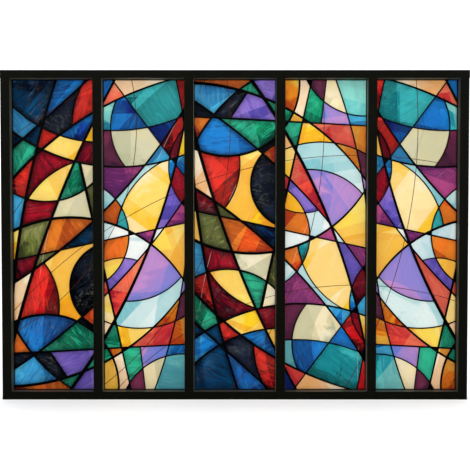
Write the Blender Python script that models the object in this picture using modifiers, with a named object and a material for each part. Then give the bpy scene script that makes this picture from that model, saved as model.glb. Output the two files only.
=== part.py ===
"""Interior glass partition: five tall fixed lights of stained glass in a frame of black box profiles.

Metres, +Z up. X runs along the partition, its front faces -Y. The origin is the middle of the bottom rail's
underside. The jambs and mullions stand under a top rail that runs through, and the bottom rail lies between
the jambs. Each pane is pressed between two rubber seals by covers that clip on from behind.
"""

import math

import bmesh
import bpy
from mathutils import Matrix, Vector
from mathutils.geometry import delaunay_2d_cdt

# Driving dimensions
LIGHTS = 5
PITCH = 0.300  # from the middle of one profile to the middle of the next
HEIGHT = 1.080
FACE = 0.030  # width of the jambs and mullions, seen from the front
RAIL_FACE = 0.026  # height of the two rails, seen from the front
GAP = 0.0003  # between two pieces that touch

# Sections of the profiles and covers, with depths counted from the front
BOX_DEPTH = 0.024
COVER_DEPTH = 0.012
WALL = 0.0018
COVER_WALL = 0.0015
SPINE = 0.006  # across the two clip legs behind a box
REBATE = (FACE - SPINE) / 2  # how far the glass edge may reach in from a profile's inner side
CLIP_LEG = 0.0015  # thickness of the legs, which a cover's tongue clips between
CLIP_BOTTOM = 0.002  # left free below the tongue's end
COVER_FOOT = 0.0055  # width of the foot that presses on the seal
EASING = 0.0010  # radius of the long front and rear edges
EASING_STEPS = 3
CAP_PLATE = 0.0010
CAP_PLUG = 0.008

# Glazing
GLASS = 0.006
SEAL = 0.004
BITE = 0.0095  # how far a pane reaches in behind each profile
ARRIS = 0.0005

# Lead strip on both faces of each pane
LEAD_RISE = 0.0010
LEAD_BORDER = 0.0020
ARC_TOLERANCE = 0.0012
SMALLEST_FIELD = 0.011  # glass between strips is filled where it is smaller than this, squared

# The main strips of one picture that spans two lights. u runs from -1 to 1 across the two, v from 0 to 1
# upwards. Each is start, end, bulge to the left as a share of the chord, and its two end widths.
LEAD_LINES = (
    ((-1.00, -0.06), (-0.43, 1.03), 0.045, 0.014, 0.006),
    ((-1.10, -0.03), (0.24, 1.03), 0.040, 0.012, 0.007),
    ((-1.10, 0.01), (1.10, 0.40), -0.144, 0.010, 0.0045),
    ((1.10, 1.02), (-1.10, 0.63), -0.092, 0.0045, 0.010),
    ((1.10, 0.99), (-1.10, 0.32), 0.070, 0.0045, 0.009),
    ((1.03, 1.04), (-0.40, -0.03), 0.070, 0.005, 0.012),
    ((0.83, 1.03), (0.57, -0.03), 0.077, 0.0045, 0.0045),
    ((-1.10, 0.87), (1.10, 0.78), -0.154, 0.008, 0.005),
    ((-1.10, 0.49), (1.10, 0.245), 0.253, 0.011, 0.0045),
    ((-1.10, 0.19), (0.20, -0.03), 0.350, 0.009, 0.006),
)

# Which half of the picture each light shows: -1 left or 1 right, upside down, mirrored
PICTURES = ((-1, False, False), (1, False, False), (-1, True, False), (1, True, False), (1, False, True))

# What follows from them
DEPTH = BOX_DEPTH + SEAL + GLASS + SEAL + COVER_DEPTH
FRONT = -DEPTH / 2
WIDTH = LIGHTS * PITCH + FACE
OPENING_WIDTH = PITCH - FACE
OPENING_HEIGHT = HEIGHT - 2 * RAIL_FACE
MIDDLE = HEIGHT / 2
SPINE_END = BOX_DEPTH + SEAL + GLASS + SEAL
QUARTER = math.pi / 2
FRAME_NAMES = ("top_rail", "bottom_rail", "left_jamb", "right_jamb", "mullion")
COVER_NAMES = ("top_cover", "bottom_cover", "left_cover", "right_cover", "mullion_cover")


def light_middle(index):
    """X of the middle of a light, counted from 0 at the left."""
    return (index - (LIGHTS - 1) / 2) * PITCH


def material(name, color, roughness, metallic=0.0, transmission=0.0):
    made = bpy.data.materials.new(name)
    made.use_nodes = True
    shader = made.node_tree.nodes["Principled BSDF"]
    shader.inputs["Base Color"].default_value = (*color, 1)
    shader.inputs["Roughness"].default_value = roughness
    shader.inputs["Metallic"].default_value = metallic
    shader.inputs["Transmission Weight"].default_value = transmission
    return made


def black_paint():
    return material("frame_paint", (0.007, 0.007, 0.006), 0.45)


def black_rubber():
    return material("seal_rubber", (0.010, 0.010, 0.010), 0.75)


def black_plastic():
    return material("cap_plastic", (0.008, 0.008, 0.008), 0.55)


def blackened_lead():
    return material("lead_strip", (0.006, 0.006, 0.008), 0.40, metallic=0.6)


def stained_glass():
    return material("stained_glass", (0.55, 0.32, 0.20), 0.15, transmission=0.5)


def add_to(collection, piece, finish):
    """Puts a finished object in the collection with its material."""
    piece.data.materials.clear()
    piece.data.materials.append(finish)
    collection.objects.link(piece)
    return piece


def eased(points):
    """An outline with each corner given as (a, b, True) rounded to EASING, and the others kept."""
    outline = []
    for i, (a, b, rounded) in enumerate(points):
        corner = Vector((a, b))
        if not rounded:
            outline.append(corner)
            continue
        before = (Vector(points[i - 1][:2]) - corner).normalized()
        after = (Vector(points[(i + 1) % len(points)][:2]) - corner).normalized()
        centre = corner + (before + after) * EASING
        for step in range(EASING_STEPS + 1):
            turn = QUARTER * step / EASING_STEPS
            outline.append(centre - after * EASING * math.cos(turn) - before * EASING * math.sin(turn))
    return outline


def extruded(name, outlines, length, at, rotation):
    """A solid of constant section: the first outline is its edge and the others are holes through it."""
    curve = bpy.data.curves.new(name, "CURVE")
    curve.dimensions = "2D"
    curve.fill_mode = "BOTH"
    curve.extrude = length / 2
    for outline in outlines:
        spline = curve.splines.new("POLY")
        spline.points.add(len(outline) - 1)
        for point, (a, b) in zip(spline.points, outline):
            point.co = (a, b, 0, 1)
        spline.use_cyclic_u = True
    piece = bpy.data.objects.new(name, curve)
    piece.location = at
    piece.rotation_euler = rotation
    return piece


def rectangle(a0, a1, b0, b1):
    return [Vector((a0, b0)), Vector((a1, b0)), Vector((a1, b1)), Vector((a0, b1))]


def spine_middle(face):
    """Where the clip legs stand across a profile. They keep the same distance from its inner side."""
    return face - REBATE - SPINE / 2


def clip_legs(face):
    """The two legs behind a profile's box that hold its cover, as part of the outline, from +a to -a."""
    middle, half = spine_middle(face), SPINE / 2
    inner = half - CLIP_LEG
    turns = ((half, BOX_DEPTH), (half, SPINE_END), (inner, SPINE_END), (inner, BOX_DEPTH))
    right = [(middle + a, b, False) for a, b in turns]
    left = [(middle - a, b, False) for a, b in reversed(turns)]
    return right + left


def profile_section(face, outer_wall):
    """Outline and chamber of a profile. a runs across its face and b back from the front. A profile of the
    outer frame has a wall at a = 0 that reaches back to the cover."""
    front = [(0, 0, True), (face, 0, True), (face, BOX_DEPTH, False)]
    if outer_wall:
        back = [(WALL, BOX_DEPTH, False), (WALL, SPINE_END, False), (0, SPINE_END, False)]
    else:
        back = [(0, BOX_DEPTH, False)]
    chamber = rectangle(WALL, face - WALL, WALL, BOX_DEPTH - WALL)
    return [eased(front + clip_legs(face) + back), chamber]


def cover_section(face):
    """A channel with two feet that press on the seals, and a tongue that clips between a profile's legs."""
    foot, lip = SPINE_END + GAP, SPINE_END + GAP + COVER_WALL
    inside = DEPTH - COVER_WALL
    flange = [
        (0, DEPTH, True),
        (0, foot, False),
        (COVER_FOOT, foot, False),
        (COVER_FOOT, lip, False),
        (COVER_WALL, lip, False),
        (COVER_WALL, inside, False),
    ]
    other_flange = [(face - a, b, rounded) for a, b, rounded in reversed(flange)]
    half, tip = SPINE / 2 - CLIP_LEG - GAP, BOX_DEPTH + CLIP_BOTTOM
    left, right = spine_middle(face) - half, spine_middle(face) + half
    tongue = [(left, inside, False), (left, tip, False), (right, tip, False), (right, inside, False)]
    return [eased(flange + tongue + other_flange)]


def upright(name, section, x, bottom, top, turned=False):
    """A vertical profile or cover whose a = 0 side is at x. Turned, a runs towards -X."""
    at = (x, FRONT, (bottom + top) / 2)
    return extruded(name, section, top - bottom, at, (0, math.pi if turned else 0, 0))


def level(name, section, z, length, turned=False):
    """A horizontal profile or cover whose a = 0 side is at z. Turned, a runs downwards."""
    at = (0, FRONT, z)
    return extruded(name, section, length, at, (0, QUARTER if turned else -QUARTER, 0))


def make_frame(collection, paint):
    """The profiles. The mullions and jambs stop just under the top rail."""
    rail, jamb = profile_section(RAIL_FACE, True), profile_section(FACE, True)
    put_together(collection, paint, rail, jamb, profile_section(FACE, False), FRAME_NAMES)


def make_covers(collection, paint):
    """The covers behind the profiles, butted in the same way."""
    rail, jamb = cover_section(RAIL_FACE), cover_section(FACE)
    put_together(collection, paint, rail, jamb, jamb, COVER_NAMES)


def put_together(collection, paint, rail, jamb, mullion, names):
    """Two rails, two jambs and the mullions of these sections. The top rail runs through."""
    top, bottom, left, right, between_lights = names
    under_top = HEIGHT - RAIL_FACE - GAP
    between = WIDTH - 2 * (FACE + GAP)
    pieces = [
        level(top, rail, HEIGHT, WIDTH, turned=True),
        level(bottom, rail, 0, between),
        upright(left, jamb, -WIDTH / 2, 0, under_top),
        upright(right, jamb, WIDTH / 2, 0, under_top, turned=True),
    ]
    for i in range(1, LIGHTS):
        x = light_middle(i) - PITCH / 2 - FACE / 2
        pieces.append(upright(f"{between_lights}_{i}", mullion, x, RAIL_FACE + GAP, under_top))
    for piece in pieces:
        add_to(collection, piece, paint)


def as_mesh(piece):
    """The mesh of a curve object in world space, with its caps welded to its sides."""
    bpy.context.scene.collection.objects.link(piece)
    bpy.context.view_layer.update()
    evaluated = piece.evaluated_get(bpy.context.evaluated_depsgraph_get())
    mesh = bpy.data.meshes.new_from_object(evaluated)
    mesh.transform(piece.matrix_world)
    solid = bmesh.new()
    solid.from_mesh(mesh)
    bmesh.ops.remove_doubles(solid, verts=solid.verts, dist=1e-6)
    solid.to_mesh(mesh)
    solid.free()
    mesh.name = piece.name
    name, curve = piece.name, piece.data
    bpy.data.objects.remove(piece)
    bpy.data.curves.remove(curve)
    return bpy.data.objects.new(name, mesh)


def make_end_cap(name, side, collection, helpers, finish):
    """A plate over the top rail's end and its cover, with a plug that fits in the rail's chamber."""
    end = side * WIDTH / 2
    turn = (0, QUARTER, 0)
    plate_at = (end + side * (GAP + CAP_PLATE / 2), FRONT, HEIGHT)
    corners = ((0, 0), (RAIL_FACE, 0), (RAIL_FACE, DEPTH), (0, DEPTH))
    edge = eased([(a, b, True) for a, b in corners])
    plate = as_mesh(extruded(name, [edge], CAP_PLATE, plate_at, turn))
    low, high = WALL + GAP, RAIL_FACE - WALL - GAP
    hollow = rectangle(low, high, low, BOX_DEPTH - WALL - GAP)
    reach = CAP_PLUG + GAP + CAP_PLATE / 2
    plug_at = (end + side * (GAP + CAP_PLATE / 2 - reach / 2), FRONT, HEIGHT)
    plug = as_mesh(extruded(name + "_plug", [hollow], reach, plug_at, turn))
    plug.hide_render = True
    plug.display_type = "WIRE"
    helpers.objects.link(plug)
    union = plate.modifiers.new("plug", "BOOLEAN")
    union.operation = "UNION"
    union.solver = "EXACT"
    union.object = plug
    add_to(collection, plate, finish)


def make_panes(collection, finish):
    """One pane to a light, reaching in behind the profiles on all four sides."""
    size = Vector((OPENING_WIDTH + 2 * BITE, GLASS, OPENING_HEIGHT + 2 * BITE))
    mesh = bpy.data.meshes.new("pane")
    solid = bmesh.new()
    bmesh.ops.create_cube(solid, size=1.0, matrix=Matrix.Diagonal((*size, 1)))
    solid.to_mesh(mesh)
    solid.free()
    for i in range(LIGHTS):
        pane = bpy.data.objects.new(f"pane_{i + 1}", mesh)
        pane.location = (light_middle(i), FRONT + BOX_DEPTH + SEAL + GLASS / 2, MIDDLE)
        arris = pane.modifiers.new("arris", "BEVEL")
        arris.width = ARRIS
        arris.segments = 1
        add_to(collection, pane, finish)


def make_seals(collection, rubber):
    """A rubber ring in front of each pane and one behind it, flush with the profiles' inner sides."""
    half_width, half_height = OPENING_WIDTH / 2, OPENING_HEIGHT / 2
    outer = rectangle(-half_width - BITE, half_width + BITE, -half_height - BITE, half_height + BITE)
    inner = rectangle(-half_width, half_width, -half_height, half_height)
    depths = {"front": BOX_DEPTH + SEAL / 2, "rear": BOX_DEPTH + SEAL + GLASS + SEAL / 2}
    for side, depth in depths.items():
        for i in range(LIGHTS):
            at = (light_middle(i), FRONT + depth, MIDDLE)
            ring = extruded(f"{side}_gasket_{i + 1}", [outer, inner], SEAL - 2 * GAP, at, (QUARTER, 0, 0))
            add_to(collection, ring, rubber)


def strip_outline(start, end, bulge, widths):
    """The two sides of a strip as one closed outline. The strip's middle runs along a circular arc that
    stands off its chord by bulge, to the left, and its width runs evenly from one end to the other."""
    chord = end - start
    along, left = chord.normalized(), Vector((-chord.y, chord.x)).normalized()
    half_turn = 2 * math.atan(2 * bulge / chord.length)
    if abs(half_turn) < 1e-4:
        steps = 1
    else:
        radius = chord.length / 2 / math.sin(half_turn)
        steps = math.ceil(abs(half_turn) / math.acos(1 - ARC_TOLERANCE / abs(radius)))
    sides = ([], [])
    for step in range(steps + 1):
        share = step / steps
        turn = half_turn * (2 * share - 1)
        if steps == 1:
            point, outwards = start + chord * share, left
        else:
            point = (start + end) / 2 + left * (bulge - radius + radius * math.cos(turn))
            point += along * radius * math.sin(turn)
            outwards = left * math.cos(turn) + along * math.sin(turn)
        half_width = (widths[0] + (widths[1] - widths[0]) * share) / 2
        sides[0].append(point + outwards * half_width)
        sides[1].append(point - outwards * half_width)
    return sides[0] + sides[1][::-1]


def strips_of(picture):
    """The outlines of a light's strips, in the light's own plane from its middle."""
    side, upside_down, mirrored = picture

    def place(u, v):
        x, z = u * PITCH - side * PITCH / 2, (v - 0.5) * OPENING_HEIGHT
        return Vector((-x if mirrored else x, -z if upside_down else z))

    strips = []
    for start, end, bulge, *widths in LEAD_LINES:
        a, b = place(*start), place(*end)
        turned = -1 if mirrored != upside_down else 1
        strips.append(strip_outline(a, b, bulge * turned * (b - a).length, widths))
    return strips


def inside(point, outline):
    """True if a point is within a closed outline."""
    within = False
    previous = outline[-1]
    for corner in outline:
        if (corner.y > point.y) != (previous.y > point.y):
            across = (point.y - corner.y) / (previous.y - corner.y)
            if point.x < corner.x + across * (previous.x - corner.x):
                within = not within
        previous = corner
    return within


def triangulated(points, edges):
    points, _, faces, *_ = delaunay_2d_cdt(points, edges, [], 0, 1e-6)
    return points, faces


def closed_edges(outlines):
    """The outlines' corners in one list, and the edges between them."""
    points, edges = [], []
    for outline in outlines:
        first, count = len(points), len(outline)
        points += outline
        edges += [(first + k, first + (k + 1) % count) for k in range(count)]
    return points, edges


def fill_small_fields(net, points, faces):
    """Adds to the net every field of glass between its strips that is too small to cut."""
    by_edge = {}
    for index, face in enumerate(faces):
        for k in range(3):
            by_edge.setdefault(frozenset((face[k], face[k - 1])), []).append(index)
    seen = set(net)
    for start in range(len(faces)):
        if start in seen:
            continue
        field, waiting, area = [], [start], 0.0
        seen.add(start)
        while waiting:
            index = waiting.pop()
            field.append(index)
            a, b, c = (points[k] for k in faces[index])
            area += abs((b - a).cross(c - a)) / 2
            for k in range(3):
                for other in by_edge[frozenset((faces[index][k], faces[index][k - 1]))]:
                    if other not in seen:
                        seen.add(other)
                        waiting.append(other)
        if area < SMALLEST_FIELD**2:
            net.update(field)


def lead_net(picture):
    """The flat net of a light's strips and border as points and triangles, with no points inside it."""
    half_width = OPENING_WIDTH / 2 - GAP
    half_height = OPENING_HEIGHT / 2 - GAP
    edge = rectangle(-half_width, half_width, -half_height, half_height)
    in_x, in_y = half_width - LEAD_BORDER, half_height - LEAD_BORDER
    border = rectangle(-in_x, in_x, -in_y, in_y)
    strips = strips_of(picture)

    def is_lead(point):
        if not inside(point, edge):
            return False
        return not inside(point, border) or any(inside(point, strip) for strip in strips)

    points, faces = triangulated(*closed_edges([edge, border, *strips]))
    middle = [sum((points[k] for k in face), Vector((0, 0))) / 3 for face in faces]
    net = {index for index, point in enumerate(middle) if is_lead(point)}
    outside = {index for index, point in enumerate(middle) if not inside(point, edge)}
    fields = net | outside
    fill_small_fields(fields, points, faces)
    net = fields - outside
    used = {}
    for index in net:
        face = faces[index]
        for k in range(3):
            pair = (face[k - 1], face[k])
            used[frozenset(pair)] = None if frozenset(pair) in used else pair
    rim = [pair for pair in used.values() if pair]
    return outline_only(points, rim)


def outline_only(points, rim):
    """Triangles between the rim's own points. A triangle belongs to the net if it lies left of the rim edge
    it touches, and its neighbours follow it up to the rim."""
    keep = sorted({k for pair in rim for k in pair})
    place = {k: i for i, k in enumerate(keep)}
    edges = [(place[a], place[b]) for a, b in rim]
    points, faces = triangulated([points[k] for k in keep], edges)
    rims = set(edges)
    beside = {}
    for index, face in enumerate(faces):
        for k in range(3):
            beside[(face[k - 1], face[k])] = index
    waiting = [beside[pair] for pair in edges if pair in beside]
    net = set(waiting)
    while waiting:
        face = faces[waiting.pop()]
        for k in range(3):
            pair = (face[k - 1], face[k])
            other = beside.get(pair[::-1])
            if pair not in rims and other is not None and other not in net:
                net.add(other)
                waiting.append(other)
    return points, [faces[index] for index in sorted(net)]


def make_leads(collection, finish):
    """A net of lead strip on both faces of each pane."""
    glass_front = FRONT + BOX_DEPTH + SEAL
    off_glass = GAP + LEAD_RISE / 2
    depths = {"front": glass_front - off_glass, "rear": glass_front + GLASS + off_glass}
    for i in range(LIGHTS):
        points, faces = lead_net(PICTURES[i % len(PICTURES)])
        mesh = bpy.data.meshes.new(f"leads_{i + 1}")
        mesh.from_pydata([(x, 0, z) for x, z in points], [], faces)
        for side, depth in depths.items():
            net = bpy.data.objects.new(f"{side}_leads_{i + 1}", mesh)
            net.location = (light_middle(i), depth, MIDDLE)
            thick = net.modifiers.new("rise", "SOLIDIFY")
            thick.thickness = LEAD_RISE
            thick.offset = 0
            add_to(collection, net, finish)


def main():
    for leftover in list(bpy.data.objects):
        bpy.data.objects.remove(leftover)
    collection = bpy.data.collections.new("interior_glass_partition")
    helpers = bpy.data.collections.new("joined_shapes")
    bpy.context.scene.collection.children.link(collection)
    bpy.context.scene.collection.children.link(helpers)
    paint, plastic = black_paint(), black_plastic()
    make_frame(collection, paint)
    make_covers(collection, paint)
    make_end_cap("end_cap_left", -1, collection, helpers, plastic)
    make_end_cap("end_cap_right", 1, collection, helpers, plastic)
    make_panes(collection, stained_glass())
    make_seals(collection, black_rubber())
    make_leads(collection, blackened_lead())


main()
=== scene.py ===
"""Looks of the interior glass partition: five tall lights of stained glass in a satin black frame.

The profiles, covers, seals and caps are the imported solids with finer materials. Each pane is replaced by the
same sheet cut into coloured cells along the lines of the design, and each net of lead strip by one with
rounded strips that also has the design's finer lines. Metres, +Z up, the front faces -Y.
"""

import math
import random

import bpy
import numpy as np
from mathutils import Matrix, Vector
from mathutils.geometry import delaunay_2d_cdt


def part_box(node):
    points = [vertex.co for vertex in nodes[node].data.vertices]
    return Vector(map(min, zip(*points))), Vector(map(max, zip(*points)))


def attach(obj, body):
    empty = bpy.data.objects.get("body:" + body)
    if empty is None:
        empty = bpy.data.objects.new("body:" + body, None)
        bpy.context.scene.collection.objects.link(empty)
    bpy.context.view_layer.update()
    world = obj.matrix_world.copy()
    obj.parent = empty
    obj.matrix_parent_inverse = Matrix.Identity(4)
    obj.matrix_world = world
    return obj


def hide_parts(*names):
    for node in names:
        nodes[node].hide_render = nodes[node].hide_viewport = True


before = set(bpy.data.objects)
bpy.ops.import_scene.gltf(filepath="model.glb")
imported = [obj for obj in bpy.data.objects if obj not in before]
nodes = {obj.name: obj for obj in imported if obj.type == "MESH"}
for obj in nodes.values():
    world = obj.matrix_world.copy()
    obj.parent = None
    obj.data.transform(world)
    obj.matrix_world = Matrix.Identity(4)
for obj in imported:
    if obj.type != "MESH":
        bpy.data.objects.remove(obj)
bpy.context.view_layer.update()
LIGHTS = sum(name.startswith("pane_") for name in nodes)

# The camera, fitted to the frame's corners in the photograph
FOCAL_PIXELS = 701.2
PHOTO_PIXELS = 470
SENSOR_MM = 36.0
CAMERA_AT = (0.0006, -2.3204, 0.5991)
CAMERA_DIP = math.radians(1.42)

# The design spans two lights. u runs from -1 to 1 across the two, v from 0 to 1 up the opening. Each line is
# start, end, bulge to the left as a share of the chord, and the strip's width at its two ends in metres.
MAIN_LINES = (
    ((-1.00, -0.06), (-0.43, 1.03), 0.045, 0.014, 0.006),
    ((-1.10, -0.03), (0.24, 1.03), 0.040, 0.012, 0.007),
    ((-1.10, 0.01), (1.10, 0.40), -0.144, 0.010, 0.0045),
    ((1.10, 1.02), (-1.10, 0.63), -0.092, 0.0045, 0.010),
    ((1.10, 0.99), (-1.10, 0.32), 0.070, 0.0045, 0.009),
    ((1.03, 1.04), (-0.40, -0.03), 0.070, 0.005, 0.012),
    ((0.83, 1.03), (0.57, -0.03), 0.077, 0.0045, 0.0045),
    ((-1.10, 0.87), (1.10, 0.78), -0.154, 0.008, 0.005),
    ((-1.10, 0.49), (1.10, 0.245), 0.253, 0.011, 0.0045),
    ((-1.10, 0.19), (0.20, -0.03), 0.350, 0.009, 0.006),
)
FINER_LINES = (
    ((-1.10, 0.04), (1.10, 0.69), -0.060, 0.008, 0.004),
    ((-1.10, 0.74), (0.00, 1.03), 0.000, 0.008, 0.005),
    ((-1.10, 0.41), (1.10, 0.55), 0.000, 0.006, 0.0045),
    ((-1.10, 0.115), (1.10, 0.15), 0.000, 0.008, 0.004),
    ((0.10, 1.02), (1.10, 0.63), 0.000, 0.0045, 0.004),
    ((-0.21, 0.735), (0.37, -0.03), 0.000, 0.010, 0.0045),
    ((-0.82, 0.60), (-0.25, 0.737), 0.100, 0.006, 0.004),
    ((-0.614, 0.413), (-0.449, 0.242), 0.100, 0.005, 0.004),
    ((-0.55, 0.124), (-0.356, 0.04), 0.000, 0.005, 0.004),
    ((-0.293, 0.852), (-0.10, 1.02), 0.080, 0.005, 0.004),
    ((0.20, 0.935), (0.30, 0.72), -0.150, 0.0045, 0.0035),
    ((0.197, 0.533), (0.70, 0.737), 0.120, 0.0045, 0.0035),
    ((0.282, 0.288), (0.91, 0.367), -0.120, 0.0045, 0.004),
    ((-0.04, 0.40), (0.426, 0.419), 0.120, 0.0045, 0.0035),
    ((0.45, 0.14), (0.52, -0.03), 0.000, 0.0045, 0.0035),
    ((0.00, 0.20), (0.00, 0.47), 0.350, 0.006, 0.006),
    ((-1.10, 0.97), (0.00, 0.80), -0.120, 0.007, 0.005),
    ((-1.10, 0.67), (0.00, 0.69), -0.220, 0.006, 0.006),
    ((-1.10, 0.34), (-0.10, -0.03), -0.120, 0.008, 0.005),
    ((0.00, 0.66), (0.00, 0.34), 0.300, 0.0045, 0.0045),
    ((1.10, 0.56), (1.10, 0.88), 0.300, 0.004, 0.004),
    ((0.00, 0.23), (1.10, 0.27), -0.150, 0.0045, 0.004),
    ((0.00, 0.84), (1.10, 0.91), -0.080, 0.0045, 0.0035),
    ((0.25, -0.03), (1.10, 0.11), 0.200, 0.0045, 0.004),
)

# Which half of the design each light shows: -1 left or 1 right, upside down, mirrored
PICTURES = ((-1, False, False), (1, False, False), (-1, True, False), (1, True, False), (1, False, True))

# How strongly the glass is shaded and scraped in the dark left half and in the pale right half
SHADING = {-1: 1.0, 1: 0.45}

# The colours of the glass as sRGB, each with the colour it deepens to and the colour it lightens to
COLOURS = {
    "ink": ((7, 9, 17), (2, 3, 7), (34, 44, 66)),
    "navy": ((8, 24, 60), (2, 4, 14), (10, 86, 136)),
    "cobalt": ((18, 66, 166), (12, 18, 84), (30, 138, 214)),
    "sky": ((12, 128, 206), (6, 56, 122), (84, 196, 232)),
    "aqua": ((54, 196, 200), (16, 122, 148), (160, 226, 210)),
    "teal": ((18, 140, 150), (10, 92, 92), (68, 196, 198)),
    "emerald": ((8, 150, 102), (3, 76, 60), (56, 202, 160)),
    "olive": ((112, 122, 54), (60, 68, 34), (152, 154, 92)),
    "gold": ((248, 212, 30), (238, 160, 26), (248, 226, 126)),
    "amber": ((236, 142, 22), (176, 56, 14), (248, 206, 76)),
    "orange": ((232, 86, 28), (134, 22, 18), (244, 144, 42)),
    "coral": ((240, 78, 58), (176, 28, 46), (250, 148, 108)),
    "ruby": ((212, 14, 26), (54, 2, 12), (246, 60, 44)),
    "wine": ((108, 12, 34), (38, 4, 16), (178, 20, 40)),
    "maroon": ((98, 46, 72), (62, 28, 52), (140, 56, 90)),
    "plum": ((138, 50, 114), (86, 34, 92), (206, 88, 146)),
    "violet": ((110, 92, 194), (62, 54, 148), (160, 128, 214)),
    "lilac": ((150, 128, 202), (108, 130, 212), (204, 148, 204)),
    "peach": ((246, 212, 168), (238, 176, 108), (250, 236, 208)),
    "cream": ((238, 228, 198), (184, 186, 150), (252, 232, 184)),
    "straw": ((246, 218, 108), (246, 198, 44), (248, 236, 198)),
    "mint": ((196, 226, 224), (130, 196, 202), (234, 242, 238)),
    "white": ((234, 238, 236), (178, 214, 220), (252, 250, 244)),
}
# Colours too alike to lie side by side
FAMILIES = (
    ("navy", "ink", "wine", "maroon"),
    ("ruby", "coral", "plum"),
    ("amber", "gold"),
    ("straw", "cream"),
    ("olive", "emerald"),
    ("teal", "aqua", "emerald"),
    ("mint", "white", "cream"),
    ("sky", "cobalt", "violet"),
    ("lilac", "violet"),
)
# Broad areas of colour: a place in the design, and the colours that are tried there in turn
AREAS = (
    ((-0.75, 0.92), ("navy", "gold", "ruby", "sky")),
    ((-0.30, 0.90), ("gold", "ink", "ruby", "cobalt", "orange")),
    ((-0.80, 0.68), ("ruby", "emerald", "ink", "sky")),
    ((-0.45, 0.68), ("gold", "emerald", "wine", "cobalt")),
    ((-0.15, 0.62), ("sky", "ruby", "cream", "olive")),
    ((-0.75, 0.47), ("olive", "wine", "gold", "cobalt")),
    ((-0.30, 0.48), ("orange", "navy", "cream", "emerald")),
    ((-0.80, 0.27), ("ruby", "ink", "cobalt", "peach")),
    ((-0.30, 0.30), ("gold", "ink", "orange", "navy")),
    ((-0.75, 0.07), ("ink", "orange", "sky", "ruby")),
    ((-0.30, 0.08), ("emerald", "wine", "gold", "violet")),
    ((0.25, 0.92), ("cobalt", "peach", "coral", "aqua", "violet")),
    ((0.65, 0.92), ("teal", "straw", "ruby", "cobalt", "cream")),
    ((0.40, 0.79), ("cream", "maroon", "aqua", "gold", "sky")),
    ((0.21, 0.68), ("plum", "mint", "peach", "cobalt", "straw")),
    ((0.54, 0.62), ("straw", "teal", "maroon", "aqua", "violet")),
    ((0.85, 0.66), ("sky", "wine", "gold", "mint")),
    ((0.20, 0.48), ("orange", "white", "teal", "peach")),
    ((0.83, 0.47), ("white", "gold", "plum", "cobalt")),
    ((0.60, 0.37), ("lilac", "gold", "cream", "teal")),
    ((0.28, 0.34), ("gold", "violet", "straw", "coral")),
    ((0.55, 0.26), ("mint", "gold", "emerald", "peach")),
    ((0.88, 0.22), ("amber", "maroon", "straw", "aqua")),
    ((0.20, 0.06), ("amber", "emerald", "peach", "cobalt", "maroon")),
    ((0.60, 0.10), ("coral", "cream", "lilac", "teal")),
    ((0.83, 0.05), ("aqua", "gold", "maroon", "sky")),
)

# The lead strips: how high their backs rise in the middle and at the edge, the border round each light, the
# lines of points along a strip from its right edge to its left one, and how sharply two backs meet
LEAD_RISE = 0.0014
LEAD_EDGE = 0.0004
LEAD_BORDER = 0.0020
LEAD_RAILS = (-1.0, -0.8, -0.4, 0.0, 0.4, 0.8, 1.0)
JOINT_SHARPNESS = 5
# The side of the smallest field of glass between strips, and the bulge that a straight line gets
SMALLEST_FIELD = 0.011
STRAIGHT_BULGE = 0.0002
# How far outside a light its strips are drawn, and at how many places along a strip that is tried
SEEN_MARGIN = 0.020
STRIP_PROBES = 400

# The meshes: the steps between points along a strip and over the glass, how far a cell's line runs past its
# end, the kind of triangulation that fills the hull of its points, and how close two points are one
STRIP_STEP = 0.010
GLASS_STEP = 0.0085
LINE_PAST_END = 0.003
FILL_HULL = 0
SAME_POINT = 1e-6
ARRIS_WIDTH = 0.0005
ARRIS_ANGLE = math.radians(60)
CREASE_ANGLE = math.radians(50)

# How much a colour is shaded: BLACK_SHADE at black, less SHADE_LOST times its brightness, within two limits
BLACK_SHADE = 0.85
SHADE_LOST = 1.4
LEAST_SHADE, MOST_SHADE = 0.08, 0.8

# The painted glass. A cell's pattern is set off by its middle times PATTERN_SHIFT, so no two cells are alike.
PATTERN_SHIFT = (31, 0, 31)
# A cell's wash is its slope of about -1 to 1 from side to side, and clouds this strong. Each pair says where
# one tone gives way to the next.
CLOUDINESS = 4.6
DEEP_TO_MAIN = (1.2, 2.1)
MAIN_TO_LIGHT = (2.4, 3.5)
LIGHTEST = 0.9
# Brush strokes and scrapes are noise drawn out to these scales. Each pair says where in the noise, which runs
# from 0 to 1 about 0.5, a pattern begins and where it is full. Strokes show by STROKE_BASE everywhere and by
# STROKE_SHADED times the shading on top.
STROKE_SCALE = (120, 1, 14)
STROKE_BASE = 0.06
STROKE_SHADED = 0.75
DARK_STROKES = (0.52, 0.64)
LIGHT_STROKES = (0.46, 0.36)
SCRAPE_SCALE = (330, 1, 45)
SCRAPES = (0.56, 0.64)
WORN_PATCHES = (0.48, 0.62)
SCRAPE_COLOUR = (0.20, 0.20, 0.17, 1)
# The burnt edge fades between these distances from the lead, and wanders by up to BURNT_WANDER
BURNT_FULL, BURNT_END = 0.005, 0.026
BURNT_WANDER = 0.016
BURNT_TINT = (0.30, 0.26, 0.26, 1)
# Facets between arcs: whether they turn with each cell or run over all, the centre of the arcs, their
# spacing, how strongly the facets show, and the tone they take. A facet fills what lies beyond FACET_START
# of the way from one arc to the next.
FACETS = (
    ("cell", (0.2, 0, 0.3), 0.19, 0.62, "deep"),
    ("cell", (-0.6, 0, 0.2), 0.33, 0.58, "light"),
    ("all", (-0.32, 0, 0.76), 0.41, 0.42, "light"),
    ("all", (0.47, 0, 0.18), 0.37, 0.55, "deep"),
)
FACET_START = 0.58
# Fine brown arcs: their centre, their spacing and how strongly they show. Each lies halfway between circles.
HAIRLINES = (((-1.1, 0, 0.9), 0.31, 0.9), ((0.4, 0, -0.7), 0.43, 0.8))
HAIRLINE_AT = 0.5
HAIRLINE_HALF_WIDTH = 0.0011
HAIRLINE_COLOUR = (0.07, 0.018, 0.008, 1)
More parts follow.
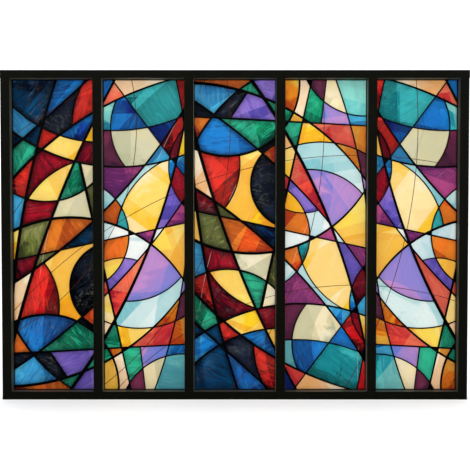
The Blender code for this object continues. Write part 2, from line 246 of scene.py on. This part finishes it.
# Pale scratched arcs, which show only in patches and up to SCRATCH_SHOWN
SCRATCH_CENTRE = (1.3, 0, 0.1)
SCRATCH_SPACING = 0.27
SCRATCH_AT = 0.3
SCRATCH_PATCHES = (0.52, 0.58)
SCRATCH_SHOWN = 0.6
SCRATCH_HALF_WIDTH = 0.0005
SCRATCH_COLOUR = (0.8, 0.8, 0.78, 1)

# The stage: a floor that reaches forwards and sideways, and sweeps up behind the object in a quarter circle
FLOOR_FRONT = 4.0
FLOOR_HALF_WIDTH = 6.0
SWEEP_START = 1.8
SWEEP_RADIUS = 1.2
SWEEP_STEPS = 12
SWEEP_TOP = 3.5

# The light: the strength of the room's own, of the backdrop that only the camera sees, and the softboxes with
# their place, what they face, width, height, watts, and whether the object mirrors them
ROOM_LIGHT = 0.45
BACKDROP_LIGHT = 1.0
OBJECT_MIDDLE = (0, 0, 0.55)
BACKDROP_MIDDLE = (0, 2.4, 0.6)
SOFTBOXES = (
    ("front_softbox", (0, -4.0, 1.5), OBJECT_MIDDLE, 3.0, 2.0, 19, False),
    ("top_softbox", (0, -1.5, 3.2), OBJECT_MIDDLE, 3.2, 1.6, 75, True),
    ("left_softbox", (-3.0, -1.8, 1.7), OBJECT_MIDDLE, 1.4, 2.2, 16, True),
    ("right_softbox", (3.0, -1.8, 1.7), OBJECT_MIDDLE, 1.4, 2.2, 16, True),
    ("rear_softbox", (0, 0.6, 3.4), BACKDROP_MIDDLE, 3.0, 1.2, 90, False),
)


def light_box(index):
    """The lowest and highest corners of a light's pane."""
    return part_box(f"pane_{index}")


PITCH = light_box(2)[0].x - light_box(1)[0].x
OPENING_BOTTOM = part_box("bottom_rail")[1].z
OPENING_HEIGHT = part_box("top_rail")[0].z - OPENING_BOTTOM


def half_size(low, high):
    return np.array((high.x - low.x, high.z - low.z)) / 2


def middle_of(low, high):
    return (low.x + high.x) / 2, (low.z + high.z) / 2


def linear(colour):
    """An sRGB colour of 0 to 255 as the linear one that Blender works with."""
    shares = [c / 255 for c in colour]
    return tuple(c / 12.92 if c <= 0.04045 else ((c + 0.055) / 1.055) ** 2.4 for c in shares)


class Strip:
    """A strip of lead in a light's plane, counted from the light's middle. Its middle line is an arc."""

    def __init__(self, line, side, half):
        start, end, bulge, *self.widths = line
        start, end = (self.placed(u, v, side) for u, v in (start, end))
        chord = end - start
        length = math.hypot(*chord)
        rise = (bulge or STRAIGHT_BULGE) * length
        self.along = chord / length
        self.left = np.array((-self.along[1], self.along[0]))
        self.half_turn = 2 * math.atan(2 * rise / length)
        self.radius = length / 2 / math.sin(self.half_turn)
        self.centre = (start + end) / 2 + self.left * (rise - self.radius)
        self.length = 2 * self.half_turn * self.radius
        self.shares = self.shown(half)

    @staticmethod
    def placed(u, v, side):
        return np.array((u * PITCH - side * PITCH / 2, (v - 0.5) * OPENING_HEIGHT))

    def at(self, shares, offset=0.0):
        """Points along the strip. offset runs from -1 on its right edge to 1 on its left edge."""
        turn = self.half_turn * (2 * shares - 1)
        reach = self.radius + offset * self.half_width(shares)
        across, forward = reach * np.cos(turn), reach * np.sin(turn)
        return self.centre + np.outer(across, self.left) + np.outer(forward, self.along)

    def half_width(self, shares):
        return (self.widths[0] + (self.widths[1] - self.widths[0]) * shares) / 2

    def shown(self, half):
        """The shares of its length at which it is drawn in this light, or none if it misses the light."""
        fine = np.linspace(0, 1, STRIP_PROBES)
        inside = (np.abs(self.at(fine)) < half + SEEN_MARGIN).all(axis=1)
        if not inside.any():
            return None
        first, last = fine[inside].min(), fine[inside].max()
        return np.linspace(first, last, max(2, math.ceil((last - first) * self.length / STRIP_STEP) + 1))

    def measure(self, points):
        """For each point its share along the strip and its distance from the strip's middle line."""
        away = points - self.centre
        across, forward = away @ self.left / self.radius, away @ self.along / self.radius
        share = (np.arctan2(forward, across) / self.half_turn + 1) / 2
        return share, np.abs(np.hypot(across, forward) - 1) * abs(self.radius)


def strips_in(side, half):
    """The strips that show in a light with this half of the design."""
    strips = [Strip(line, side, half) for line in MAIN_LINES + FINER_LINES]
    return [strip for strip in strips if strip.shares is not None]


class Plan:
    """Lines and closed areas that are triangulated together."""

    def __init__(self):
        self.points, self.edges, self.areas = [], [], []

    def line(self, points, closed=False):
        first, count = len(self.points), len(points)
        self.points += [Vector(point) for point in points]
        made = list(range(first, first + count))
        ends = made[1:] + made[:1] if closed else made[1:]
        self.edges += list(zip(made, ends))
        return made

    def rectangle(self, half_width, half_height):
        a, b = half_width, half_height
        return self.line([(-a, -b), (a, -b), (a, b), (-a, b)], closed=True)

    def triangulate(self):
        """Points, triangles, the areas each triangle lies in, and the edges that lie on a line."""
        made = delaunay_2d_cdt(self.points, self.edges, self.areas, FILL_HULL, SAME_POINT)
        points, edges, faces, _, sources, areas = made
        walls = {frozenset(edge) for edge, source in zip(edges, sources) if source}
        return np.array(points), faces, areas, walls


def edges_of(face):
    return [(face[k - 1], face[k]) for k in range(3)]


def fields(faces, chosen, walls):
    """The chosen triangles in groups that no wall parts, and the pairs of groups with a wall between them."""
    beside = {}
    for index in chosen:
        for edge in edges_of(faces[index]):
            beside.setdefault(frozenset(edge), []).append(index)
    group, count = {}, 0
    for start in chosen:
        if start in group:
            continue
        waiting = [start]
        group[start] = count
        while waiting:
            for edge in map(frozenset, edges_of(faces[waiting.pop()])):
                if edge in walls:
                    continue
                for other in beside[edge]:
                    if other not in group:
                        group[other] = count
                        waiting.append(other)
        count += 1
    touching = {frozenset(group[index] for index in pair) for edge, pair in beside.items() if edge in walls}
    return group, {pair for pair in touching if len(pair) == 2}


def triangle_areas(points, faces):
    corners = points[np.array(faces)]
    a, b = corners[:, 1] - corners[:, 0], corners[:, 2] - corners[:, 0]
    return np.abs(a[:, 0] * b[:, 1] - a[:, 1] * b[:, 0]) / 2


def compact(points, faces, *values):
    """Only the points that the faces use, with their values."""
    used, renumbered = np.unique(np.array(faces), return_inverse=True)
    faces = renumbered.reshape(-1, 3)
    return points[used], faces, *(value[used] for value in values)


def crown(share):
    """Height of a strip's rounded back, at a share of the way from its middle to its edge."""
    return LEAD_EDGE + (LEAD_RISE - LEAD_EDGE) * np.sqrt(np.clip(1 - share**2, 0, 1))


def net_plan(strips, half):
    """The plan of a net. Its first area is the whole light, its second the part inside the border."""
    plan = Plan()
    plan.areas.append(plan.rectangle(*half))
    plan.areas.append(plan.rectangle(*(half - LEAD_BORDER)))
    plan.rectangle(*(half - LEAD_BORDER / 2))
    for strip in strips:
        rails = [plan.line(strip.at(strip.shares, offset)) for offset in LEAD_RAILS]
        plan.areas.append(rails[0] + rails[-1][::-1])
    return plan


def net_heights(points, strips, half):
    """The height of the net at each point. The backs of strips that cross run into each other."""
    from_edge = (half - np.abs(points)).min(axis=1)
    across = np.abs(2 * from_edge / LEAD_BORDER - 1)
    heights = np.where(across < 1, crown(across), 0) ** JOINT_SHARPNESS
    for strip in strips:
        share, away = strip.measure(points)
        across = away / strip.half_width(share)
        on_it = (across < 1) & (share > 0) & (share < 1)
        heights += np.where(on_it, crown(across), 0) ** JOINT_SHARPNESS
    return np.maximum(heights ** (1 / JOINT_SHARPNESS), LEAD_EDGE)


def lead_net(side):
    """The net of one half of the design: its points, triangles and the height at each point."""
    half = half_size(*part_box("front_leads_1"))
    strips = strips_in(side, half)
    points, faces, areas, _ = net_plan(strips, half).triangulate()
    whole_light, inside_border = 0, 1
    inside = {k for k, ids in enumerate(areas) if whole_light in ids}
    net = {k for k in inside if inside_border not in areas[k] or len(areas[k]) > 2}
    group, _ = fields(faces, sorted(inside - net), set())
    sizes = triangle_areas(points, faces)
    total = {}
    for index, number in group.items():
        total[number] = total.get(number, 0) + sizes[index]
    net |= {index for index, number in group.items() if total[number] < SMALLEST_FIELD**2}
    return compact(points, [faces[index] for index in sorted(net)], net_heights(points, strips, half))


def glass_plan(strips, half):
    """The middle lines of the strips in a light, and a grid of points whose every other row is set over."""
    plan = Plan()
    plan.areas.append(plan.rectangle(*half))
    for strip in strips:
        past = LINE_PAST_END / strip.length
        shares = strip.shares.copy()
        shares[0] -= past
        shares[-1] += past
        plan.line(strip.at(shares))
    rows = int(2 * half[1] / GLASS_STEP)
    for row in range(1, rows):
        z = -half[1] + row * 2 * half[1] / rows
        first = -half[0] + GLASS_STEP * (0.5 + 0.5 * (row % 2))
        columns = np.arange(first, half[0] - GLASS_STEP / 3, GLASS_STEP)
        plan.points += [Vector((x, z)) for x in columns]
    return plan


def measured_cells(side, points, faces, chosen, group):
    """Each cell's key, area, place in the design, middle and reach."""
    sizes = triangle_areas(points, faces)
    middles = points[np.array(faces)].mean(axis=1)
    cells = []
    for number in range(max(group.values()) + 1):
        members = [index for index in chosen if group[index] == number]
        size = sizes[members].sum()
        middle = (middles[members] * sizes[members, None]).sum(axis=0) / size
        place = (middle[0] + side * PITCH / 2) / PITCH, middle[1] / OPENING_HEIGHT + 0.5
        reach = math.sqrt(size / math.pi)
        cells.append({"key": (side, number), "size": size, "at": place, "middle": middle, "reach": reach})
    return cells


def clear_of_lead(strips, points):
    """How far each point lies from the edge of the nearest strip. It is 0 under a strip."""
    clear = np.full(len(points), np.inf)
    for strip in strips:
        share, away = strip.measure(points)
        on_it = (share > 0) & (share < 1)
        clear = np.where(on_it, np.minimum(clear, away - strip.half_width(share)), clear)
    return np.clip(clear, 0, 1)


def glass_half(side):
    """The sheet of glass of one half of the design, its cells, and the pairs of cells that touch."""
    half = half_size(*light_box(1))
    strips = strips_in(side, half)
    points, faces, areas, walls = glass_plan(strips, half).triangulate()
    chosen = [k for k, ids in enumerate(areas) if ids]
    group, touching = fields(faces, chosen, walls)
    cells = measured_cells(side, points, faces, chosen, group)
    clear = clear_of_lead(strips, points)
    points, faces, clear = compact(points, [faces[index] for index in chosen], clear)
    touching = {frozenset((side, number) for number in pair) for pair in touching}
    glass = {
        "points": points,
        "faces": faces,
        "clear": clear,
        "cell": np.array([group[index] for index in chosen]),
        "middle": np.array([cell["middle"] for cell in cells]),
        "reach": np.array([cell["reach"] for cell in cells]),
    }
    return glass, cells, touching


def tints_near(cell):
    """The colours of the broad area that is nearest to a cell, in its half of the design."""
    u, v = cell["at"]
    side = cell["key"][0]
    near = [(place, names) for place, names in AREAS if place[0] * side > 0]
    near.sort(key=lambda area: math.hypot((area[0][0] - u) * PITCH, (area[0][1] - v) * OPENING_HEIGHT))
    return near[0][1]


def colour_cells(cells, touching):
    """Gives each cell a colour of the area it lies in, so that no two alike touch."""
    beside = {cell["key"]: set() for cell in cells}
    for a, b in touching:
        beside[a].add(b)
        beside[b].add(a)
    kin = {name: {name} for name in COLOURS}
    for family in FAMILIES:
        for name in family:
            kin[name].update(family)
    chosen = {}
    for cell in sorted(cells, key=lambda cell: -cell["size"]):
        wanted = tints_near(cell)
        used = {chosen[key] for key in beside[cell["key"]] if key in chosen}
        alike = {name for colour in used for name in kin[colour]}
        free = [name for name in wanted if name not in alike]
        spare = [name for name in COLOURS if name not in alike]
        times = [name for key, name in chosen.items() if key[0] == cell["key"][0]]
        chosen[cell["key"]] = min(free or spare or wanted, key=lambda name: times.count(name))
    return chosen


def placed_in(picture, at, points):
    """The x and z of points in a light, as its picture lies there. at is the light's middle."""
    _, upside_down, mirrored = picture
    return at[0] + points[:, 0] * (-1 if mirrored else 1), at[1] + points[:, 1] * (-1 if upside_down else 1)


def sheet(name, points, faces, front, rear, picture, at):
    """A closed sheet between two depths at each point. Returns the object and the face behind each of its
    faces: first the front, then the rear, then the rim."""
    _, upside_down, mirrored = picture
    x, z = placed_in(picture, at, points)
    count = len(points)
    corners = np.concatenate([np.column_stack((x, front, z)), np.column_stack((x, rear, z))])
    turned = mirrored != upside_down
    ahead = faces[:, ::-1] if turned else faces
    behind = ahead[:, ::-1] + count
    owner = {}
    for index, face in enumerate(ahead):
        for edge in edges_of([int(k) for k in face]):
            owner[edge] = index
    rim = [edge for edge in owner if edge[::-1] not in owner]
    walls = [(b, a, a + count, b + count) for a, b in rim]
    mesh = bpy.data.meshes.new(name)
    mesh.from_pydata(corners.tolist(), [], ahead.tolist() + behind.tolist() + walls)
    made = bpy.data.objects.new(name, mesh)
    bpy.context.scene.collection.objects.link(made)
    order = np.arange(len(faces))
    return made, np.concatenate([order, order, np.array([owner[edge] for edge in rim])])


def give_values(mesh, name, kind, domain, values):
    """Stores a value for each face or point of a mesh, for its material to read."""
    layer = mesh.attributes.new(name, kind, domain)
    field = {"FLOAT": "value", "FLOAT_VECTOR": "vector", "FLOAT_COLOR": "color"}[kind]
    layer.data.foreach_set(field, np.asarray(values, dtype=np.float32).ravel())


def add(tree, kind, inputs=(), **settings):
    """A node with its settings. Each input is a socket to link or a value to set."""
    made = tree.nodes.new(kind)
    for name, value in settings.items():
        setattr(made, name, value)
    for name, value in dict(inputs).items():
        if isinstance(value, bpy.types.NodeSocket):
            tree.links.new(value, made.inputs[name])
        else:
            made.inputs[name].default_value = value
    return made


def reckon(tree, operation, a, b=0.0, c=0.0):
    """A sum on single values. vector() does the same on vectors."""
    return add(tree, "ShaderNodeMath", {0: a, 1: b, 2: c}, operation=operation).outputs[0]


def vector(tree, operation, a, b=(0, 0, 0), c=(0, 0, 0)):
    made = add(tree, "ShaderNodeVectorMath", {0: a, 1: b, 2: c}, operation=operation)
    return made.outputs["Value" if operation == "LENGTH" else "Vector"]


def spread(tree, value, low, high, to_low=0.0, to_high=1.0):
    """Maps low to high smoothly onto to_low to to_high."""
    inputs = {"Value": value, "From Min": low, "From Max": high, "To Min": to_low, "To Max": to_high}
    return add(tree, "ShaderNodeMapRange", inputs, interpolation_type="SMOOTHSTEP").outputs["Result"]


def blend(tree, share, a, b, kind="MIX"):
    inputs = {0: share, 6: a, 7: b}
    return add(tree, "ShaderNodeMix", inputs, data_type="RGBA", blend_type=kind, clamp_factor=True).outputs[2]


def noise(tree, where, scale, detail=3.0, roughness=0.5, distortion=0.0):
    inputs = {"Vector": where, "Scale": scale, "Detail": detail, "Roughness": roughness}
    return add(tree, "ShaderNodeTexNoise", inputs | {"Distortion": distortion}).outputs["Fac"]


def object_place(tree):
    return add(tree, "ShaderNodeTexCoord").outputs["Object"]


def attribute(tree, name, output="Fac"):
    return add(tree, "ShaderNodeAttribute", attribute_name=name).outputs[output]


def bump(tree, height, distance, strength, under=None):
    """A bumped normal, on top of the one under it if there is one."""
    inputs = {"Height": height, "Distance": distance, "Strength": strength}
    if under is not None:
        inputs["Normal"] = under
    return add(tree, "ShaderNodeBump", inputs).outputs["Normal"]


def arcs(tree, where, centre, spacing):
    """A value that runs from 0 to 1 between one circle round a centre and the next."""
    flat = vector(tree, "MULTIPLY", vector(tree, "SUBTRACT", where, centre), (1, 0, 1))
    return reckon(tree, "FRACT", reckon(tree, "DIVIDE", vector(tree, "LENGTH", flat), spacing))


def new_material(name):
    made = bpy.data.materials.new(name)
    made.use_nodes = True
    return made, made.node_tree, made.node_tree.nodes["Principled BSDF"]


def fit_out(tree, shader, linked, fixed):
    """Links sockets of a shader and sets others to values that are the same all over the surface."""
    for name, socket in linked.items():
        tree.links.new(socket, shader.inputs[name])
    for name, value in fixed.items():
        shader.inputs[name].default_value = value


class Paint:
    """The layers of paint on the glass. Each takes the colour under it and returns its own over that."""

    def __init__(self, tree):
        self.tree = tree
        self.where = object_place(tree)
        middle = attribute(tree, "middle", "Vector")
        angle = attribute(tree, "turn")
        turn = {"Vector": self.where, "Center": middle, "Axis": (0, 1, 0), "Angle": angle}
        self.turned = add(tree, "ShaderNodeVectorRotate", turn).outputs[0]
        self.from_middle = vector(tree, "SUBTRACT", self.turned, middle)
        self.cell_place = vector(tree, "MULTIPLY_ADD", middle, PATTERN_SHIFT, self.from_middle)
        self.tones = {name: attribute(tree, name, "Color") for name in ("deep", "main", "light")}
        self.shade = attribute(tree, "shade")
        drawn_out = vector(tree, "MULTIPLY", self.cell_place, STROKE_SCALE)
        self.stroke = noise(tree, drawn_out, 1.0, detail=4.0, roughness=0.66, distortion=1.0)

    def times(self, a, b):
        return reckon(self.tree, "MULTIPLY", a, b)

    def washes(self):
        """Each cell runs from its deep tone on one side to its light tone on the other, in clouds."""
        tree, tones = self.tree, self.tones
        across = add(tree, "ShaderNodeSeparateXYZ", {0: self.from_middle}).outputs[0]
        slope = reckon(tree, "DIVIDE", across, attribute(tree, "reach"))
        clouds = noise(tree, self.cell_place, 15.0, detail=4.0, roughness=0.62, distortion=1.0)
        wash = reckon(tree, "MULTIPLY_ADD", clouds, CLOUDINESS, slope)
        colour = blend(tree, spread(tree, wash, *DEEP_TO_MAIN), tones["deep"], tones["main"])
        return blend(tree, spread(tree, wash, *MAIN_TO_LIGHT, to_high=LIGHTEST), colour, tones["light"])

    def facets(self, colour):
        """Crisp changes of tone, as if the cell were put together from overlapping shapes."""
        places = {"cell": self.cell_place, "all": self.where}
        for place, centre, spacing, strength, tone in FACETS:
            part = arcs(self.tree, places[place], centre, spacing)
            share = self.times(reckon(self.tree, "GREATER_THAN", part, FACET_START), strength)
            colour = blend(self.tree, share, colour, self.tones[tone])
        return colour

    def strokes(self, colour):
        """Brush strokes across the cell, some dark and some light, stronger in dark glass."""
        tree = self.tree
        strength = reckon(tree, "MULTIPLY_ADD", self.shade, STROKE_SHADED, STROKE_BASE)
        for limits, tone in ((DARK_STROKES, "deep"), (LIGHT_STROKES, "light")):
            share = self.times(spread(tree, self.stroke, *limits), strength)
            colour = blend(tree, share, colour, self.tones[tone])
        return colour

    def scrapes(self, colour):
        """Dry pale scrapes in worn patches of the dark glass."""
        tree = self.tree
        drawn_out = vector(tree, "MULTIPLY", self.cell_place, SCRAPE_SCALE)
        marks = noise(tree, drawn_out, 1.0, detail=2.0, roughness=0.6, distortion=1.2)
        scraped = self.times(spread(tree, marks, *SCRAPES), self.times(self.shade, self.shade))
        worn = spread(tree, noise(tree, self.cell_place, 11.0, detail=2.0), *WORN_PATCHES)
        return blend(tree, self.times(scraped, worn), colour, SCRAPE_COLOUR)

    def burnt_edge(self, colour):
        """A ragged dark edge along the lead."""
        tree = self.tree
        wander = self.times(noise(tree, self.turned, 40.0), BURNT_WANDER)
        clear = reckon(tree, "ADD", attribute(tree, "clear"), wander)
        near_lead = spread(tree, clear, BURNT_FULL, BURNT_END, to_low=1.0, to_high=0.0)
        burnt = blend(tree, 1.0, self.tones["deep"], BURNT_TINT, "MULTIPLY")
        return blend(tree, self.times(near_lead, self.shade), colour, burnt)

    def hairlines(self, colour):
        """Fine brown arcs that run on from cell to cell."""
        for centre, spacing, strength in HAIRLINES:
            part = arcs(self.tree, self.where, centre, spacing)
            hair = reckon(self.tree, "COMPARE", part, HAIRLINE_AT, HAIRLINE_HALF_WIDTH / spacing)
            colour = blend(self.tree, self.times(hair, strength), colour, HAIRLINE_COLOUR)
        return colour

    def scratches(self, colour):
        """Pale scratched arcs that show here and there."""
        tree = self.tree
        part = arcs(tree, self.where, SCRATCH_CENTRE, SCRATCH_SPACING)
        scratch = reckon(tree, "COMPARE", part, SCRATCH_AT, SCRATCH_HALF_WIDTH / SCRATCH_SPACING)
        patches = noise(tree, self.where, 5.0, detail=1.0)
        patch = spread(tree, patches, *SCRATCH_PATCHES, to_high=SCRATCH_SHOWN)
        return blend(tree, self.times(scratch, patch), colour, SCRATCH_COLOUR)


def stained_glass():
    """Painted glass that lets half of the light through, with the swell of the sheet under its strokes."""
    made, tree, shader = new_material("stained_glass")
    paint = Paint(tree)
    colour = paint.facets(paint.washes())
    colour = paint.scrapes(paint.strokes(colour))
    colour = paint.burnt_edge(colour)
    colour = paint.scratches(paint.hairlines(colour))
    swell = bump(tree, noise(tree, paint.where, 14.0, detail=2.0), distance=0.0012, strength=0.5)
    linked = {
        "Base Color": colour,
        "Roughness": spread(tree, paint.stroke, 0.3, 0.7, to_low=0.10, to_high=0.24),
        "Normal": bump(tree, paint.stroke, distance=0.00015, strength=0.5, under=swell),
    }
    fit_out(tree, shader, linked, {"IOR": 1.5, "Transmission Weight": 0.5})
    return made


def powder_coat():
    """Satin black powder coat with its fine orange peel."""
    made, tree, shader = new_material("black_powder_coat")
    where = object_place(tree)
    cloud = noise(tree, where, 7.0, detail=4.0, roughness=0.6)
    uneven = noise(tree, where, 16.0, detail=5.0, roughness=0.6)
    peel = noise(tree, where, 700.0, detail=2.0)
    linked = {
        "Base Color": blend(tree, cloud, (0.0018, 0.0020, 0.0010, 1), (0.0036, 0.0038, 0.0020, 1)),
        "Roughness": spread(tree, uneven, 0.3, 0.7, to_low=0.30, to_high=0.40),
        "Normal": bump(tree, peel, distance=0.00006, strength=0.6),
    }
    sheen = {"Sheen Weight": 0.18, "Sheen Roughness": 0.40, "Sheen Tint": (1, 1, 0.8, 1)}
    fit_out(tree, shader, linked, {"Specular IOR Level": 0.12} | sheen)
    return made


def lead():
    """Blackened lead, burnished by hand, so that its sheen comes and goes."""
    made, tree, shader = new_material("blackened_lead")
    where = object_place(tree)
    patina = noise(tree, where, 60.0, detail=5.0, roughness=0.6)
    marks = noise(tree, where, 260.0, roughness=0.6)
    share = spread(tree, patina, 0.4, 0.7)
    linked = {
        "Base Color": blend(tree, share, (0.0003, 0.0003, 0.0005, 1), (0.0014, 0.0014, 0.0018, 1)),
        "Roughness": spread(tree, patina, 0.3, 0.7, to_low=0.42, to_high=0.62),
        "Normal": bump(tree, marks, distance=0.00012, strength=0.7),
    }
    fit_out(tree, shader, linked, {"Specular IOR Level": 0.08})
    return made


def rubber():
    """Matt black seal rubber with a faint bloom."""
    made, tree, shader = new_material("seal_rubber")
    where = object_place(tree)
    bloom = noise(tree, where, 30.0, detail=4.0, roughness=0.6)
    grain = noise(tree, where, 1200.0, detail=2.0)
    linked = {
        "Base Color": blend(tree, bloom, (0.003, 0.003, 0.003, 1), (0.008, 0.008, 0.007, 1)),
        "Roughness": spread(tree, bloom, 0.3, 0.7, to_low=0.75, to_high=0.90),
        "Normal": bump(tree, grain, distance=0.00004, strength=0.6),
    }
    fit_out(tree, shader, linked, {"Specular IOR Level": 0.12})
    return made


def plastic():
    """Black moulded plastic with a spark-eroded grain."""
    made, tree, shader = new_material("cap_plastic")
    where = object_place(tree)
    grain = noise(tree, where, 1500.0, detail=2.0, roughness=0.6)
    linked = {
        "Base Color": blend(tree, grain, (0.005, 0.005, 0.005, 1), (0.009, 0.009, 0.009, 1)),
        "Roughness": spread(tree, noise(tree, where, 40.0), 0.3, 0.7, to_low=0.50, to_high=0.62),
        "Normal": bump(tree, grain, distance=0.00005, strength=0.7),
    }
    fit_out(tree, shader, linked, {})
    return made


def studio_white():
    """Matt white paper, a little uneven."""
    made, tree, shader = new_material("studio_white")
    cloud = noise(tree, object_place(tree), 2.0)
    linked = {"Base Color": blend(tree, cloud, (0.93, 0.93, 0.93, 1), (0.96, 0.96, 0.96, 1))}
    fit_out(tree, shader, linked, {"Roughness": 0.9, "Specular IOR Level": 0.1})
    return made


def finish_frame():
    """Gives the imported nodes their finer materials."""
    paint, black_rubber, black_plastic = powder_coat(), rubber(), plastic()
    for name, node in nodes.items():
        if "gasket" in name:
            node.material_slots[0].material = black_rubber
        elif "cap" in name:
            node.material_slots[0].material = black_plastic
        elif not name.startswith("pane") and "leads" not in name:
            node.material_slots[0].material = paint


def make_glazing():
    """The stained sheets and their lead nets, in each light."""
    glass, strip_lead = stained_glass(), lead()
    halves, nets, cells, touching = {}, {}, [], set()
    for side in (-1, 1):
        halves[side], found, pairs = glass_half(side)
        cells += found
        touching |= pairs
        nets[side] = lead_net(side)
    chosen = colour_cells(cells, touching)
    for index in range(1, LIGHTS + 1):
        picture = PICTURES[(index - 1) % len(PICTURES)]
        side = picture[0]
        names = [chosen[(side, number)] for number in range(len(halves[side]["reach"]))]
        make_pane(index, picture, halves[side], names, glass)
        make_nets(index, picture, nets[side], strip_lead)


def paint_cells(mesh, index, picture, half, names, source, at):
    """Stores what the glass material reads: each cell's tones, turn, middle, reach and shading, and how far
    each point is clear of the lead."""
    count = len(names)
    cell = half["cell"][source]
    main, deep, light = ([linear(COLOURS[name][k]) for name in names] for k in range(3))
    for layer, colours in (("main", main), ("deep", deep), ("light", light)):
        colours = np.column_stack((np.array(colours), np.ones(count)))
        give_values(mesh, layer, "FLOAT_COLOR", "FACE", colours[cell])
    draw = random.Random(index)
    turns = np.array([draw.uniform(0, math.pi) for _ in range(count)])
    x, z = placed_in(picture, at, half["middle"])
    middles = np.column_stack((x, np.zeros(count), z))
    brightness = np.array([sum(colour) / 3 for colour in main])
    shades = SHADING[picture[0]] * np.clip(BLACK_SHADE - SHADE_LOST * brightness, LEAST_SHADE, MOST_SHADE)
    give_values(mesh, "turn", "FLOAT", "FACE", turns[cell])
    give_values(mesh, "middle", "FLOAT_VECTOR", "FACE", middles[cell])
    give_values(mesh, "reach", "FLOAT", "FACE", half["reach"][cell])
    give_values(mesh, "shade", "FLOAT", "FACE", shades[cell])
    give_values(mesh, "clear", "FLOAT", "POINT", np.tile(half["clear"], 2))


def make_pane(index, picture, half, names, glass):
    """One light's sheet of stained glass. names holds the colour of each of its cells."""
    low, high = light_box(index)
    points, at = half["points"], middle_of(low, high)
    front, rear = np.full(len(points), low.y), np.full(len(points), high.y)
    made, source = sheet(f"stained_pane_{index}", points, half["faces"], front, rear, picture, at)
    paint_cells(made.data, index, picture, half, names, source, at)
    made.data.materials.append(glass)
    arris = made.modifiers.new("arris", "BEVEL")
    arris.width = ARRIS_WIDTH
    arris.segments = 1
    arris.limit_method = "ANGLE"
    arris.angle_limit = ARRIS_ANGLE
    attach(made, "root")
    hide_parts(f"pane_{index}")


def make_nets(index, picture, net, strip_lead):
    """The lead nets on both faces of one light's sheet. Their flat side lies towards the glass."""
    points, faces, heights = net
    for where, outwards in (("front", -1), ("rear", 1)):
        node = f"{where}_leads_{index}"
        low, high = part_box(node)
        flat = np.full(len(points), high.y if outwards < 0 else low.y)
        raised = flat + outwards * heights
        front, rear = (raised, flat) if outwards < 0 else (flat, raised)
        at = middle_of(low, high)
        made, _ = sheet(f"{where}_lead_net_{index}", points, faces, front, rear, picture, at)
        made.data.materials.append(strip_lead)
        made.data.shade_smooth()
        made.data.set_sharp_from_angle(angle=CREASE_ANGLE)
        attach(made, "root")
        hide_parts(node)


def make_camera():
    lens = bpy.data.cameras.new("camera")
    lens.sensor_fit = "HORIZONTAL"
    lens.sensor_width = SENSOR_MM
    lens.lens = FOCAL_PIXELS * SENSOR_MM / PHOTO_PIXELS
    camera = bpy.data.objects.new("camera", lens)
    camera.location = CAMERA_AT
    camera.rotation_euler = (math.pi / 2 - CAMERA_DIP, 0, 0)
    bpy.context.scene.collection.objects.link(camera)
    bpy.context.scene.camera = camera


def make_stage():
    """A plain white floor that sweeps up behind the object."""
    outline = [(-FLOOR_FRONT, 0.0)]
    for k in range(SWEEP_STEPS + 1):
        angle = math.pi / 2 * k / SWEEP_STEPS
        outline.append((SWEEP_START + SWEEP_RADIUS * math.sin(angle), SWEEP_RADIUS * (1 - math.cos(angle))))
    outline.append((SWEEP_START + SWEEP_RADIUS, SWEEP_TOP))
    corners = [(x, y, z) for x in (-FLOOR_HALF_WIDTH, FLOOR_HALF_WIDTH) for y, z in outline]
    count = len(outline)
    faces = [(k, k + count, k + count + 1, k + 1) for k in range(count - 1)]
    mesh = bpy.data.meshes.new("studio_floor")
    mesh.from_pydata(corners, [], faces)
    mesh.shade_smooth()
    mesh.materials.append(studio_white())
    floor = bpy.data.objects.new("studio_floor", mesh)
    bpy.context.scene.collection.objects.link(floor)
    floor.visible_glossy = False


def softbox(name, at, towards, width, height, watts, mirrored):
    light = bpy.data.lights.new(name, "AREA")
    light.shape = "RECTANGLE"
    light.size, light.size_y = width, height
    light.energy = watts
    made = bpy.data.objects.new(name, light)
    made.location = at
    made.rotation_euler = (Vector(towards) - Vector(at)).to_track_quat("-Z", "Y").to_euler()
    made.visible_glossy = mirrored
    bpy.context.scene.collection.objects.link(made)


def make_lights():
    """Even light from all round, which the object doesn't mirror, and the softboxes."""
    world = bpy.data.worlds.new("studio")
    bpy.context.scene.world = world
    world.use_nodes = True
    tree = world.node_tree
    white = (1, 1, 1, 1)
    soft = tree.nodes["Background"]
    soft.inputs["Color"].default_value = white
    soft.inputs["Strength"].default_value = ROOM_LIGHT
    backdrop = add(tree, "ShaderNodeBackground", {"Color": white, "Strength": BACKDROP_LIGHT}).outputs[0]
    seen = add(tree, "ShaderNodeLightPath").outputs["Is Camera Ray"]
    mixed = add(tree, "ShaderNodeMixShader", {0: seen, 1: soft.outputs[0], 2: backdrop})
    tree.links.new(mixed.outputs[0], tree.nodes["World Output"].inputs["Surface"])
    world.cycles_visibility.glossy = False
    for box in SOFTBOXES:
        softbox(*box)
    view = bpy.context.scene.view_settings
    view.view_transform = "Standard"
    view.look = "None"


make_camera()
make_stage()
make_lights()
finish_frame()
make_glazing()
